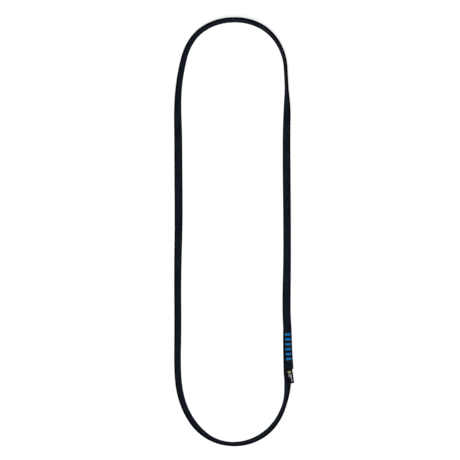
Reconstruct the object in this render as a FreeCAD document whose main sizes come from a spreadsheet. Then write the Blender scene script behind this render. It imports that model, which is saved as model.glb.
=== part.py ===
"""Sewn webbing sling: one strap closed on itself by a lap of six bartacks, with a folded label.

The strap lies on a table in a long loop. Its inner edge rests on the table and its outer edge leans
up, a little on the straight runs and nearly upright round the two bends.
Millimetres. +Z is up, +Y runs along the loop, and the origin is the middle of the loop on the table.
"""
import FreeCAD, Part
import math
import os

import Sketcher

from FreeCAD import Placement, Rotation, Vector

# ---------------------------------------------------------------------------------------------
# Driving dimensions: (alias, value, what it is)
# ---------------------------------------------------------------------------------------------
DIMENSIONS = [
    ("webbing_width", 10.0, "strap, across"),
    ("webbing_thickness", 2.5, "strap, through"),
    ("ply_gap", 0.1, "air between the two plies of the lap"),
    ("ramp_length", 17.0, "stretch in which the upper ply climbs over the lower one"),
    ("settle_length", 22.0, "stretch in which the lower ply comes down to the table"),
    ("twist_length", 14.0, "stretch in which the strap takes its lean beyond the lap"),
    ("flat_length", 12.0, "stretch that lies flat on the table before the climb"),
    ("climb_margin", 1.0, "top of the climb to the lower ply's hidden end"),
    ("tack_from_hidden_end", 5.8, "hidden end of the lower ply to the first bartack"),
    ("tack_from_cut_end", 12.6, "cut end of the upper ply to the last bartack"),
    ("tack_edge_margin", 1.7, "strap edge to the end of a bartack"),
    ("tack_length", 3.6, "bartack, along the strap"),
    ("tack_height", 0.4, "thread standing out of the webbing"),
    ("thread_diameter", 0.6, "bundle of thread in one needle hole"),
    ("needle_clearance", 0.05, "all round the thread in its hole"),
    ("stitch_end_inset", 1.2, "end of a bartack to its outermost needle hole"),
    ("stitch_side_inset", 0.7, "side of a bartack to its row of needle holes"),
    ("label_width", 8.0, "label tape, across"),
    ("label_thickness", 0.7, "both plies of the folded label"),
    ("label_clearance", 0.05, "between the label and each ply of the strap"),
    ("label_end_gap", 0.4, "label's end in the seam to the step that the upper ply makes over it"),
    ("label_flap_length", 18.4, "label outside the seam"),
    ("label_side_shift", 0.3, "label off the middle of the upper ply, inwards"),
    ("label_skew", 4.0, "flap turned outwards from square to the fold line, degrees"),
    ("label_pitch", 24.0, "flap raised off the table at rest, degrees"),
    ("fold_setback", 0.8, "cut end of the upper ply to the label's fold line"),
    ("fold_relief", 0.7, "fold line to the start of the flap"),
    ("label_corner", 0.6, "radius of the flap's free corners"),
]

TACK_COUNT = 6
HOLES_PER_ROW = 4
HOLE_OVERSHOOT = 1.0
STATION_SPACING = 10.0
STATION_TURN = math.radians(7.0)
STATION_GAP = 0.3
RAMP_STEPS = 5
ARC_SHARE = 0.45
SAME_PLACE = 1e-6

# The strap's route, clockwise seen from above: x, y, and the lean of the strap from flat, degrees.
ROUTE = [
    # lower ply of the lap, from its hidden end
    (65.9, -121.8, 0),
    (65.9, -141.0, 0),
    (66.3, -163.0, 2),
    (66.9, -185.0, 36),
    # near bend
    (65.0, -208.0, 70),
    (56.5, -231.0, 62),
    (41.5, -249.5, 57),
    (19.5, -261.5, 63),
    (-5.0, -264.3, 71),
    (-28.0, -258.0, 66),
    (-47.2, -242.4, 47),
    (-60.5, -221.0, 47),
    (-68.0, -196.0, 40),
    # left run
    (-70.0, -166.0, 38),
    (-69.2, -120.0, 33),
    (-69.7, -55.0, 33),
    (-68.2, 10.0, 14),
    (-68.7, 70.0, 9),
    (-68.8, 116.0, 14),
    (-69.7, 149.0, 29),
    (-68.8, 174.0, 43),
    (-65.2, 200.0, 46),
    # far bend
    (-58.3, 227.3, 52),
    (-43.4, 248.0, 55),
    (-19.0, 260.4, 58),
    (10.0, 262.3, 59),
    (35.0, 254.2, 59),
    (53.0, 237.4, 66),
    (63.2, 214.8, 70),
    (64.7, 190.0, 74),
    # right run
    (65.6, 168.0, 68),
    (65.9, 149.0, 31),
    (65.1, 122.0, 22),
    (65.2, 76.0, 16),
    (65.8, 18.0, 21),
    (65.9, -36.0, 23),
    (65.1, -80.0, 4),
    # upper ply of the lap, to its cut end
    (65.3, -107.0, 0),
    (66.6, -128.0, 0),
    (67.1, -149.0, 0),
    (68.6, -170.6, 0),
]


def make_sheet(document):
    """Put the driving dimensions into a spreadsheet and return it."""
    sheet = document.addObject("Spreadsheet::Sheet", "Sizes")
    for row, (alias, value, meaning) in enumerate(DIMENSIONS, start=1):
        sheet.set(f"A{row}", alias)
        sheet.set(f"B{row}", str(value))
        sheet.set(f"C{row}", meaning)
        sheet.setAlias(f"B{row}", alias)
    document.recompute()
    return sheet


class StrapPath:
    """The middle line of the strap: straight runs joined by tangent arcs, with a lean all along."""

    def __init__(self, route):
        self.points = [Vector(x, y, 0.0) for x, y, lean in route]
        self.leans = [math.radians(lean) for x, y, lean in route]
        self.spans = []
        self.radii = []
        self.middles = [0.0]
        self.length = 0.0
        self._lay_spans()

    def _lay_spans(self):
        runs = [b - a for a, b in zip(self.points, self.points[1:])]
        headings = [math.atan2(run.y, run.x) for run in runs]
        used = 0.0
        for number, run in enumerate(runs):
            last = number == len(runs) - 1
            turn = 0.0 if last else self._turn(headings[number], headings[number + 1])
            cut = 0.0 if last else ARC_SHARE * min(run.Length, runs[number + 1].Length)
            start = self.points[number] + self._direction(headings[number]) * used
            straight = run.Length - used - cut
            if 0 < number < len(runs) - 1:
                self.middles.append(self.length + run.Length / 2 - used)
            self._add_span(start, headings[number], straight, 0.0)
            if not last:
                radius = cut / math.tan(abs(turn) / 2)
                self.radii.append(radius)
                corner = self.points[number + 1] - self._direction(headings[number]) * cut
                self._add_span(corner, headings[number], radius * abs(turn), turn)
            used = cut
        self.middles.append(self.length)

    def _add_span(self, start, heading, length, turn):
        self.spans.append((self.length, start, heading, length, turn))
        self.length += length

    @staticmethod
    def _turn(before, after):
        return (after - before + math.pi) % (2 * math.pi) - math.pi

    @staticmethod
    def _direction(heading):
        return Vector(math.cos(heading), math.sin(heading), 0.0)

    def place(self, distance):
        """Return the point and the heading at a distance along the path."""
        began, start, heading, length, turn = [s for s in self.spans if s[0] <= distance + SAME_PLACE][-1]
        along = distance - began
        if turn == 0.0:
            return start + self._direction(heading) * along, heading
        radius = length / turn
        now = heading + along / radius
        side = Vector(math.sin(now) - math.sin(heading), math.cos(heading) - math.cos(now), 0.0)
        return start + side * radius, now

    def lean(self, distance):
        """Return the strap's lean, blended from each point's own value to the next."""
        for number, (begin, end) in enumerate(zip(self.middles, self.middles[1:]), start=1):
            if distance <= end or end == self.length:
                break
        first = number == 1
        last = end == self.length
        entry = self.leans[0] if first else (self.leans[number - 1] + self.leans[number]) / 2
        leave = self.leans[-1] if last else (self.leans[number] + self.leans[number + 1]) / 2
        part = (distance - begin) / (end - begin)
        return (1 - part) ** 2 * entry + 2 * part * (1 - part) * self.leans[number] + part ** 2 * leave

    def stations(self, extra):
        """Return the distances at which the strap's section is drawn, with the extra ones."""
        marks = set(extra)
        for began, start, heading, length, turn in self.spans:
            steps = math.ceil(max(length / STATION_SPACING, abs(turn) / STATION_TURN, 1))
            marks.update(began + length * step / steps for step in range(steps + 1))
        ordered = []
        for mark in sorted(marks):
            if not ordered or mark - ordered[-1] > STATION_GAP:
                ordered.append(mark)
        ordered[-1] = self.length
        return ordered


def smooth_step(value, begin, end):
    """Return 0 before begin, 1 after end, and an S-curve between."""
    part = min(max((value - begin) / (end - begin), 0.0), 1.0)
    return part * part * (3 - 2 * part)


class Lap:
    """Heights and places in the sewn lap, worked out from the sheet."""

    def __init__(self, sheet, path):
        self.sheet = sheet
        self.path = path
        self.overlap = path.points[0].y - path.points[-1].y
        self.lower_lift = sheet.tack_height
        self.sewn_lift = self.lower_lift + sheet.webbing_thickness + sheet.ply_gap
        self.label_bottom = self.lower_lift + sheet.webbing_thickness + sheet.label_clearance
        self.label_lift = self.label_bottom + sheet.label_thickness + sheet.label_clearance
        over = path.length - self.overlap
        half_tack = sheet.tack_length / 2
        sewn = self.overlap - sheet.tack_from_hidden_end - sheet.tack_from_cut_end
        self.tack_spacing = sewn / (TACK_COUNT - 1)
        last_tack = path.length - sheet.tack_from_cut_end
        climbed = over - sheet.climb_margin
        self.climb = (climbed - sheet.ramp_length, climbed)
        self.label_step = (last_tack - self.tack_spacing + half_tack, last_tack - half_tack)
        self.settle = (self.overlap, self.overlap + sheet.settle_length)

    def lift(self, distance):
        """Return the height of the strap's inner edge above the table."""
        if distance < self.path.length / 2:
            return self.lower_lift * (1 - smooth_step(distance, *self.settle))
        step = self.label_lift - self.sewn_lift
        climbed = self.sewn_lift * smooth_step(distance, *self.climb)
        return climbed + step * smooth_step(distance, *self.label_step)

    def lean(self, distance):
        """Return the strap's lean, which is nothing where the plies are sewn together."""
        twist = self.sheet.twist_length
        flat_from = self.climb[0] - self.sheet.flat_length
        before = smooth_step(distance, self.settle[0], self.settle[0] + twist)
        after = 1.0 - smooth_step(distance, flat_from - twist, flat_from)
        return self.path.lean(distance) * before * after

    def marks(self):
        """Return the distances at which the strap needs a section to follow its ramps."""
        marks = []
        for begin, end in (self.climb, self.label_step, self.settle):
            rise = (end - begin) / RAMP_STEPS
            marks.extend(begin + rise * step for step in range(RAMP_STEPS + 1))
        return marks

    def tack_distance(self, number):
        """Return how far along the strap a bartack sits, counted from 1 at the hidden end."""
        later = TACK_COUNT - number
        return self.path.length - self.sheet.tack_from_cut_end - later * self.tack_spacing


def strap_section(sheet, path, lap, distance):
    """Return the strap's round-edged section at a distance along the path."""
    width = sheet.webbing_width
    thickness = sheet.webbing_thickness
    point, heading = path.place(distance)
    lean = lap.lean(distance)
    outward = Vector(-math.sin(heading), math.cos(heading), 0.0)
    across = outward * math.cos(lean) + Vector(0, 0, 1) * math.sin(lean)
    through = Vector(0, 0, 1) * math.cos(lean) - outward * math.sin(lean)
    reach = (width - thickness) / 2
    centre = point + Vector(0, 0, lap.lift(distance) + thickness / 2 + reach * math.sin(lean))
    half = through * (thickness / 2)
    inner = centre - across * reach
    outer = centre + across * reach
    nose = across * (thickness / 2)
    return Part.Wire([
        Part.makeLine(inner - half, outer - half),
        Part.Arc(outer - half, outer + nose, outer + half).toShape(),
        Part.makeLine(outer + half, inner + half),
        Part.Arc(inner + half, inner - nose, inner - half).toShape(),
    ])


def make_strap(document, sheet, path, lap):
    """Loft the strap through its sections and return the feature."""
    sections = [strap_section(sheet, path, lap, d) for d in path.stations(lap.marks())]
    strap = document.addObject("Part::Feature", "Strap")
    strap.Shape = Part.makeLoft(sections, True, True)
    return strap


def hole_places(tack_width, sheet):
    """Return the needle holes of one bartack, as offsets across and along the strap."""
    reach = tack_width / 2 - sheet.stitch_end_inset
    row = sheet.tack_length / 2 - sheet.stitch_side_inset
    step = 2 * reach / (HOLES_PER_ROW - 1)
    return [(-reach + step * n, side * row) for side in (-1, 1) for n in range(HOLES_PER_ROW)]


def add_post(document, name, diameter, height, centre):
    """Add an upright cylinder whose size follows the sheet, and place its foot."""
    post = document.addObject("Part::Cylinder", name)
    post.setExpression("Radius", f"({diameter}) / 2")
    post.setExpression("Height", height)
    post.Placement = Placement(centre, Rotation())
    return post


def add_bar(document, name, height):
    """Add a bartack's flat bar of thread, centred on its own foot."""
    bar = document.addObject("Part::Box", name)
    bar.setExpression("Length", "Sizes.webbing_width - 2 * Sizes.tack_edge_margin")
    bar.setExpression("Width", "Sizes.tack_length")
    bar.setExpression("Height", "Sizes.tack_height")
    bar.setExpression("Placement.Base.x", "Sizes.tack_edge_margin - Sizes.webbing_width / 2")
    bar.setExpression("Placement.Base.y", "-Sizes.tack_length / 2")
    bar.Placement.Base.z = height
    return bar


def make_tack(document, sheet, path, lap, number):
    """Build one bartack: a bar on each face of the lap and the thread through its needle holes.

    Returns the bartack and the cutters for its needle holes.
    """
    distance = lap.tack_distance(number)
    point, heading = path.place(distance)
    turn = Rotation(Vector(0, 0, 1), math.degrees(heading) + 90.0)
    where = Placement(point, turn)
    top = lap.lift(distance) + sheet.webbing_thickness
    tack_width = sheet.webbing_width - 2 * sheet.tack_edge_margin
    posts = []
    holes = []
    for index, (across, along) in enumerate(hole_places(tack_width, sheet), start=1):
        foot = Vector(across, along, 0.0)
        name = f"{number}_{index}"
        posts.append(add_post(document, f"Thread_{name}", "Sizes.thread_diameter", f"{top}", foot))
        bore = "Sizes.thread_diameter + 2 * Sizes.needle_clearance"
        below = Vector(across, along, -HOLE_OVERSHOOT)
        depth = f"{top + 2 * HOLE_OVERSHOOT}"
        hole = add_post(document, f"Needle_hole_{name}", bore, depth, where.multVec(below))
        holes.append(hole)
    fuse = document.addObject("Part::MultiFuse", f"Bartack_{number}")
    fuse.Shapes = [
        add_bar(document, f"Under_bar_{number}", 0.0),
        add_bar(document, f"Upper_bar_{number}", top),
    ] + posts
    fuse.Label = f"bartack_{number}"
    fuse.Placement = where
    return fuse, holes


def make_label_root(document, sheet, path, lap, holes):
    """Build the part of the label that is held between the plies."""
    end, heading = path.place(path.length)
    tape = document.addObject("Part::Box", "Label_root_tape")
    tape.setExpression("Length", "Sizes.label_width")
    tucked = "Sizes.tack_from_cut_end + Sizes.tack_length / 2 - Sizes.label_end_gap"
    tape.setExpression("Width", tucked)
    tape.setExpression("Height", "Sizes.label_thickness")
    corner = Vector(-sheet.label_width / 2 - sheet.label_side_shift, 0.0, lap.label_bottom)
    turn = Rotation(Vector(0, 0, 1), math.degrees(heading) + 90.0)
    tape.Placement = Placement(end + turn.multVec(corner), turn)
    root = document.addObject("Part::Cut", "Label_root")
    root.Base = tape
    root.Tool = holes
    root.Label = "label_root"
    return root


def label_fold(sheet, path, lap):
    """Return the middle of the label's fold line and the strap's heading there."""
    end, heading = path.place(path.length)
    out = Vector(math.cos(heading), math.sin(heading), 0.0)
    inward = Vector(math.sin(heading), -math.cos(heading), 0.0)
    rise = Vector(0, 0, lap.label_bottom + sheet.label_thickness / 2)
    middle = end + out * sheet.fold_setback + inward * sheet.label_side_shift + rise
    return middle, heading


def make_label_flap(document, sheet, path, lap):
    """Build the part of the label that hangs out of the seam, with rounded free corners."""
    middle, heading = label_fold(sheet, path, lap)
    flap = document.addObject("PartDesign::Body", "Label_flap")
    flap.Label = "label_flap"
    plane = [o for o in flap.Origin.OriginFeatures if o.Role == "XY_Plane"][0]
    outline = flap.newObject("Sketcher::SketchObject", "Flap_outline")
    outline.AttachmentSupport = [(plane, "")]
    outline.MapMode = "FlatFace"
    half = sheet.label_width / 2
    near = sheet.fold_relief
    far = sheet.label_flap_length
    corners = [(-half, near), (half, near), (half, far), (-half, far)]
    for begin, end in zip(corners, corners[1:] + corners[:1]):
        outline.addGeometry(Part.LineSegment(Vector(*begin, 0), Vector(*end, 0)))
    constrain_flap(outline)
    tape = flap.newObject("PartDesign::Pad", "Flap_tape")
    tape.Profile = outline
    tape.setExpression("Length", "Sizes.label_thickness")
    tape.Midplane = True
    document.recompute()
    rounding = flap.newObject("PartDesign::Fillet", "Flap_corners")
    rounding.Base = (tape, free_corners(tape.Shape, far))
    rounding.setExpression("Radius", "Sizes.label_corner")
    flap.Tip = rounding
    level = Rotation(Vector(0, 0, 1), math.degrees(heading) - 90.0)
    raised = Rotation(Vector(1, 0, 0), sheet.label_pitch)
    skewed = Rotation(Vector(0, 0, 1), sheet.label_skew)
    flap.Placement = Placement(middle, level.multiply(raised).multiply(skewed))
    return flap


def constrain_flap(outline):
    """Close the flap's rectangle and bind its size to the sheet."""
    for edge in range(4):
        outline.addConstraint(Sketcher.Constraint("Coincident", edge, 2, (edge + 1) % 4, 1))
    outline.addConstraint(Sketcher.Constraint("Horizontal", 2))
    outline.addConstraint(Sketcher.Constraint("Vertical", 1))
    outline.addConstraint(Sketcher.Constraint("Vertical", 3))
    outline.addConstraint(Sketcher.Constraint("Symmetric", 0, 1, 0, 2, -2))
    sizes = [
        ("DistanceX", (0, 1, 0, 2), "Sizes.label_width"),
        ("DistanceY", (-1, 1, 0, 1), "Sizes.fold_relief"),
        ("DistanceY", (-1, 1, 2, 1), "Sizes.label_flap_length"),
    ]
    for kind, ends, value in sizes:
        number = outline.addConstraint(Sketcher.Constraint(kind, *ends, 1.0))
        outline.setExpression(f"Constraints[{number}]", value)


def free_corners(shape, far):
    """Return the names of the upright edges at the flap's free end."""
    names = []
    for number, edge in enumerate(shape.Edges, start=1):
        ends = [vertex.Point for vertex in edge.Vertexes]
        at_end = all(abs(end.y - far) < SAME_PLACE for end in ends)
        upright = at_end and abs(ends[0].x - ends[1].x) < SAME_PLACE
        if upright:
            names.append(f"Edge{number}")
    return names


def check_document(document, pieces):
    """Stop if any object failed or any piece has no good solid."""
    for item in document.Objects:
        if "Invalid" in item.State or "Error" in item.State:
            raise RuntimeError(f"{item.Name} failed: {item.State}")
    for piece in pieces:
        shape = piece.Shape
        if shape.isNull() or not shape.isValid() or shape.Volume <= 0:
            raise RuntimeError(f"{piece.Label} has no valid solid")


def print_facts(sheet, path, lap, strap):
    """Print the route's radii and compare the strap's volume with its section and length."""
    print("path length", round(path.length, 1), "lap", round(lap.overlap, 1))
    print("arc radii", [round(radius) for radius in path.radii])
    radius = sheet.webbing_thickness / 2
    flat = sheet.webbing_width - sheet.webbing_thickness
    section = flat * sheet.webbing_thickness + math.pi * radius ** 2
    print("strap volume / section x length", round(strap.Shape.Volume / section / path.length, 4))


def main():
    """Build the document, check it and write one STEP file for each piece."""
    document = FreeCAD.newDocument("webbing_sling")
    sheet = make_sheet(document)
    path = StrapPath(ROUTE)
    lap = Lap(sheet, path)
    strap = make_strap(document, sheet, path, lap)
    tacks = []
    holes = []
    for number in range(1, TACK_COUNT + 1):
        tack, tack_holes = make_tack(document, sheet, path, lap, number)
        tacks.append(tack)
        holes.extend(tack_holes)
    needle_holes = document.addObject("Part::Compound", "Needle_holes")
    needle_holes.Links = holes
    webbing = document.addObject("Part::Cut", "Webbing_loop")
    webbing.Base = strap
    webbing.Tool = needle_holes
    webbing.Label = "webbing_loop"
    root = make_label_root(document, sheet, path, lap, needle_holes)
    flap = make_label_flap(document, sheet, path, lap)
    document.recompute()
    pieces = [webbing, root, flap] + tacks
    check_document(document, pieces)
    print_facts(sheet, path, lap, strap)
    middle, heading = label_fold(sheet, path, lap)
    print("fold line middle", [round(c, 3) for c in middle], "heading", round(math.degrees(heading), 2))
    os.makedirs("parts", exist_ok=True)
    for piece in pieces:
        piece.Shape.exportStep(f"parts/{piece.Label}.step")
        print(piece.Label, round(piece.Shape.Volume, 1), "mm3,", len(piece.Shape.Solids), "solid")


main()
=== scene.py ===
"""Sewn webbing sling, dressed for its picture.

The strap, its six bartacks and the folded label are built here in metres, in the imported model's
own frame, and laid on a pale floor under soft studio light.
"""
from __future__ import annotations

import logging
import math
from dataclasses import dataclass, field
from enum import Enum
from typing import NamedTuple, Sequence

import bmesh
import bpy
import numpy as np
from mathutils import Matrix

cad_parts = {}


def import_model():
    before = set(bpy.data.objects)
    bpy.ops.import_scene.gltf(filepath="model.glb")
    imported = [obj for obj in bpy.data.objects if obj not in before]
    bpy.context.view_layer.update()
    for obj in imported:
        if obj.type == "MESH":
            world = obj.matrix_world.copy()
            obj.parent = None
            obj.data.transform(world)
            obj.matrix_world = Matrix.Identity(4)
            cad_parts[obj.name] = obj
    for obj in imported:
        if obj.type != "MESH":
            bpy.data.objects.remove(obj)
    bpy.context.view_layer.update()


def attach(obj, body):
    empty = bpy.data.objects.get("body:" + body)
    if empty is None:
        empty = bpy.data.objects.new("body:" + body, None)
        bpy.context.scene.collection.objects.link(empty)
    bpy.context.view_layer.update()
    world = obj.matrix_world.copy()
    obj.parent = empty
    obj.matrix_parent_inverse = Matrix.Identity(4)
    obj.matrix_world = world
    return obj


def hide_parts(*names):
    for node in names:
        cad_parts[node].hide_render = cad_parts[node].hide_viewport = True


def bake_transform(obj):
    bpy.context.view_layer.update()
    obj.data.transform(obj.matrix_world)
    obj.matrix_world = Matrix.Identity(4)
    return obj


LOG = logging.getLogger("webbing_sling")
MM = 0.001
TURN = 2 * math.pi
UP = np.array([0.0, 0.0, 1.0])
WHITE = (1.0, 1.0, 1.0, 1.0)
ENDS = (0, -1)
FLOAT = "NodeSocketFloat"
SAME_PLACE = 1e-9
WELD = 1e-7
PICK_START = 0.125
COLUMN_RISE = 0.4
FLOAT_RISE = 0.45
FILAMENT_RISE = 0.11
FLUFF_DETAIL = 3.0
FLUFF_SHARE = 0.4
PATCH_DETAIL = 4.0
PATCH_SHARE = 0.8
RUBBED_FROM = 0.5
RUBBED_TO = 0.8
WAVE_STRETCHES = (1.7, 1.0, 0.61, 0.37)
WAVE_SCALE = 3.0
RUN_MAP = "run"
BAKE_MAP = "OFBake"
MELT = "melt"
# mesh value for the painted shade on the strap's rounded edges
EDGE_SHADE = "edge"
Colour = tuple[float, float, float, float]


class Slot(Enum):
    """The record's material slots."""

    WEBBING = "webbing"
    THREAD = "thread"
    LABEL = "label"


class Body(Enum):
    """The moving bodies of the model."""

    SLING = "sling"
    LABEL = "label"


class RoutePoint(NamedTuple):
    """A point that the strap's middle line is drawn towards, and the strap's lean there."""

    x: float
    y: float
    lean_deg: float


ROUTE = (
    # lower ply of the lap, from its hidden end
    RoutePoint(0.0659, -0.1218, 0),
    RoutePoint(0.0659, -0.1410, 0),
    RoutePoint(0.0663, -0.1630, 2),
    RoutePoint(0.0669, -0.1850, 36),
    # near bend
    RoutePoint(0.0650, -0.2080, 70),
    RoutePoint(0.0565, -0.2310, 62),
    RoutePoint(0.0415, -0.2495, 57),
    RoutePoint(0.0195, -0.2615, 63),
    RoutePoint(-0.0050, -0.2643, 71),
    RoutePoint(-0.0280, -0.2580, 66),
    RoutePoint(-0.0472, -0.2424, 47),
    RoutePoint(-0.0605, -0.2210, 47),
    RoutePoint(-0.0680, -0.1960, 40),
    # left run
    RoutePoint(-0.0700, -0.1660, 38),
    RoutePoint(-0.0692, -0.1200, 33),
    RoutePoint(-0.0697, -0.0550, 33),
    RoutePoint(-0.0682, 0.0100, 14),
    RoutePoint(-0.0687, 0.0700, 9),
    RoutePoint(-0.0688, 0.1160, 14),
    RoutePoint(-0.0697, 0.1490, 29),
    RoutePoint(-0.0688, 0.1740, 43),
    RoutePoint(-0.0652, 0.2000, 46),
    # far bend
    RoutePoint(-0.0583, 0.2273, 52),
    RoutePoint(-0.0434, 0.2480, 55),
    RoutePoint(-0.0190, 0.2604, 58),
    RoutePoint(0.0100, 0.2623, 59),
    RoutePoint(0.0350, 0.2542, 59),
    RoutePoint(0.0530, 0.2374, 66),
    RoutePoint(0.0632, 0.2148, 70),
    RoutePoint(0.0647, 0.1900, 74),
    # right run
    RoutePoint(0.0656, 0.1680, 68),
    RoutePoint(0.0659, 0.1490, 31),
    RoutePoint(0.0651, 0.1220, 22),
    RoutePoint(0.0652, 0.0760, 16),
    RoutePoint(0.0658, 0.0180, 21),
    RoutePoint(0.0659, -0.0360, 23),
    RoutePoint(0.0651, -0.0800, 4),
    # upper ply of the lap, to its cut end
    RoutePoint(0.0653, -0.1070, 0),
    RoutePoint(0.0666, -0.1280, 0),
    RoutePoint(0.0671, -0.1490, 0),
    RoutePoint(0.0686, -0.1706, 0),
)


def smooth_step(value: np.ndarray | float, begin: float, end: float) -> np.ndarray:
    """Blend from 0 to 1 along an S-curve.

    Args:
        value: Where to read the blend.
        begin: Up to here the blend is 0.
        end: From here on it is 1.

    Returns:
        The blend at each value.
    """
    part = np.clip((np.asarray(value, float) - begin) / (end - begin), 0.0, 1.0)
    return part * part * (3 - 2 * part)


def slow_noise(distance: np.ndarray, wavelength: float, seed: int) -> np.ndarray:
    """Give a smooth, repeatable unevenness along a line.

    Args:
        distance: Distances along the line, in metres.
        wavelength: The length of its middle waves.
        seed: Picks one pattern.

    Returns:
        Values that stay about within -1 and 1.
    """
    random = np.random.default_rng(seed)
    total = np.zeros_like(distance)
    for stretch in WAVE_STRETCHES:
        phase = random.uniform(0, TURN)
        total += math.sqrt(stretch) * np.sin(TURN * distance / (wavelength * stretch) + phase)
    return total / WAVE_SCALE


def read_rows(at: np.ndarray, places: np.ndarray, rows: np.ndarray) -> np.ndarray:
    """Read rows of numbers between the places where they are known.

    Args:
        at: Where to read.
        places: Where the rows are known, in order.
        rows: The known rows.

    Returns:
        A row for each place in at.
    """
    return np.stack([np.interp(at, places, column) for column in rows.T], -1)


@dataclass(frozen=True)
class SlingSizes:
    """The sling's sizes, in metres, as the model has them."""

    width: float = 0.010
    thickness: float = 0.0025
    ply_gap: float = 0.0001
    ramp_length: float = 0.017
    settle_length: float = 0.022
    twist_length: float = 0.014
    flat_length: float = 0.012
    climb_margin: float = 0.001
    tack_count: int = 6
    tack_from_hidden_end: float = 0.0058
    tack_from_cut_end: float = 0.0126
    tack_edge_margin: float = 0.0017
    tack_length: float = 0.0036
    tack_height: float = 0.0004
    label_thickness: float = 0.0007
    label_clearance: float = 0.00005

    @property
    def reach(self) -> float:
        """Half the flat width between the strap's rounded edges."""
        return (self.width - self.thickness) / 2

    @property
    def tack_width(self) -> float:
        """A bartack's size across the strap."""
        return self.width - 2 * self.tack_edge_margin

    @property
    def lower_lift(self) -> float:
        """Height of the lower ply's underside in the lap."""
        return self.tack_height

    @property
    def sewn_lift(self) -> float:
        """Height of the upper ply's underside where it lies on the lower ply."""
        return self.lower_lift + self.thickness + self.ply_gap

    @property
    def label_bottom(self) -> float:
        """Height of the label's underside in the seam."""
        return self.lower_lift + self.thickness + self.label_clearance

    @property
    def label_lift(self) -> float:
        """Height of the upper ply's underside over the label."""
        return self.label_bottom + self.label_thickness + self.label_clearance


class Frames(NamedTuple):
    """The strap's middle and its own directions at some places along it."""

    middle: np.ndarray
    along: np.ndarray
    across: np.ndarray
    through: np.ndarray


def spline_points(controls: Sequence[Sequence[float]], steps: int) -> np.ndarray:
    """Read points from a smooth spline.

    Args:
        controls: The spline's control points.
        steps: Steps from each control point to the next.

    Returns:
        The points, in order.
    """
    curve = bpy.data.curves.new("strap_route", "CURVE")
    curve.dimensions = "3D"
    spline = curve.splines.new("NURBS")
    spline.points.add(len(controls) - 1)
    for point, place in zip(spline.points, controls):
        point.co = (*place, 1.0)
    spline.order_u = 3
    spline.use_endpoint_u = True
    spline.resolution_u = steps
    holder = bpy.data.objects.new("strap_route", curve)
    mesh = bpy.data.meshes.new_from_object(holder)
    points = np.array([vertex.co for vertex in mesh.vertices])
    bpy.data.objects.remove(holder)
    bpy.data.meshes.remove(mesh)
    bpy.data.curves.remove(curve)
    return points


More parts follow.
